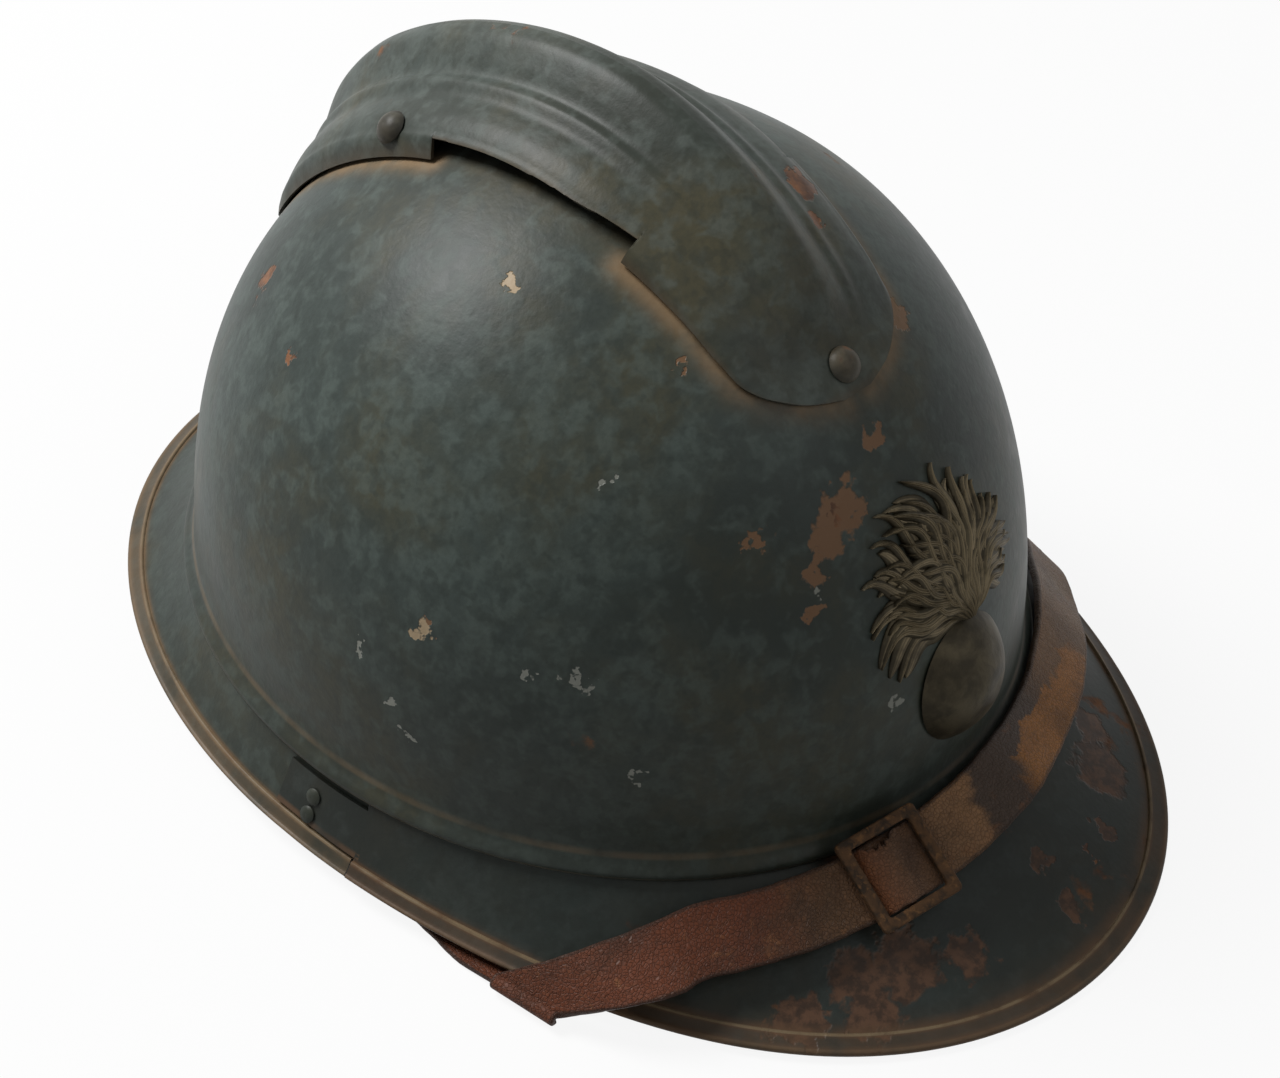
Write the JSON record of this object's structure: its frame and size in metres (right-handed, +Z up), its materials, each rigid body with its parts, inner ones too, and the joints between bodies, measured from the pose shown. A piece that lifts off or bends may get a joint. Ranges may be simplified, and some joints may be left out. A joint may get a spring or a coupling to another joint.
{
  "type": "adrian helmet",
  "caption": "Pressed steel combat helmet with a combed crest, lapped front and rear brims, a flaming grenade badge and a leather chin strap with a slider buckle.",
  "frame": {"origin": "the centre of the helmet's outline at the level that its brim stands on", "axes": "+Z up, the front of the helmet towards -Y, the wearer's right towards -X"},
  "size_m": [0.2084, 0.2882, 0.1595],
  "materials": {
    "painted_steel": "worn matte",
    "painted_rivets": "worn matte",
    "bronzed_brass": "dark patina",
    "bare_steel": "dull",
    "rusty_steel": "rusty",
    "strap_leather": "worn",
    "liner_leather": "worn",
    "felt": "matte",
    "aluminium": "dull",
    "cotton": "matte"
  },
  "bodies": {
    "helmet": {"dome_shell": "painted_steel", "front_visor": "painted_steel", "neck_guard": "painted_steel", "crest": "painted_steel", "crest_front_rivet": "painted_rivets", "crest_rear_rivet": "painted_rivets", "crest_left_rivet": "painted_rivets", "crest_right_rivet": "painted_rivets", "badge": "bronzed_brass", "brim_rivets_left": "painted_rivets", "brim_rivets_right": "painted_rivets", "strap_lug_left": "bare_steel", "strap_lug_right": "bare_steel", "chin_strap": "strap_leather", "liner_band": "liner_leather", "liner_tongues": "liner_leather", "felt_band": "felt", "spacer_front": "aluminium", "spacer_rear": "aluminium", "spacer_left": "aluminium", "spacer_right": "aluminium", "liner_clips": "aluminium", "crown_lace": "cotton"},
    "left_ring": {"strap_ring_left": "bare_steel", "strap_loop_left": "strap_leather"},
    "right_ring": {"strap_ring_right": "bare_steel", "strap_loop_right": "strap_leather"},
    "slider": {"slider_buckle": "rusty_steel", "strap_under_layer": "strap_leather"}
  },
  "joints": [
    {"name": "left_ring_swing", "type": "hinge", "parent": "helmet", "child": "left_ring", "pos_m": [0.0908, 0.00376, 0.0166], "axis": [0, 1, 0], "range_deg": [-14, 14]},
    {"name": "right_ring_swing", "type": "hinge", "parent": "helmet", "child": "right_ring", "pos_m": [-0.0908, 0.00376, 0.0166], "axis": [0, 1, 0], "range_deg": [-14, 14]},
    {"name": "buckle_slide", "type": "hinge", "parent": "helmet", "child": "slider", "pos_m": [-0.0045, 0.00744, 0.0283], "axis": [-0.1045, 0, 0.9945], "range_deg": [-6, 12]}
  ]
}
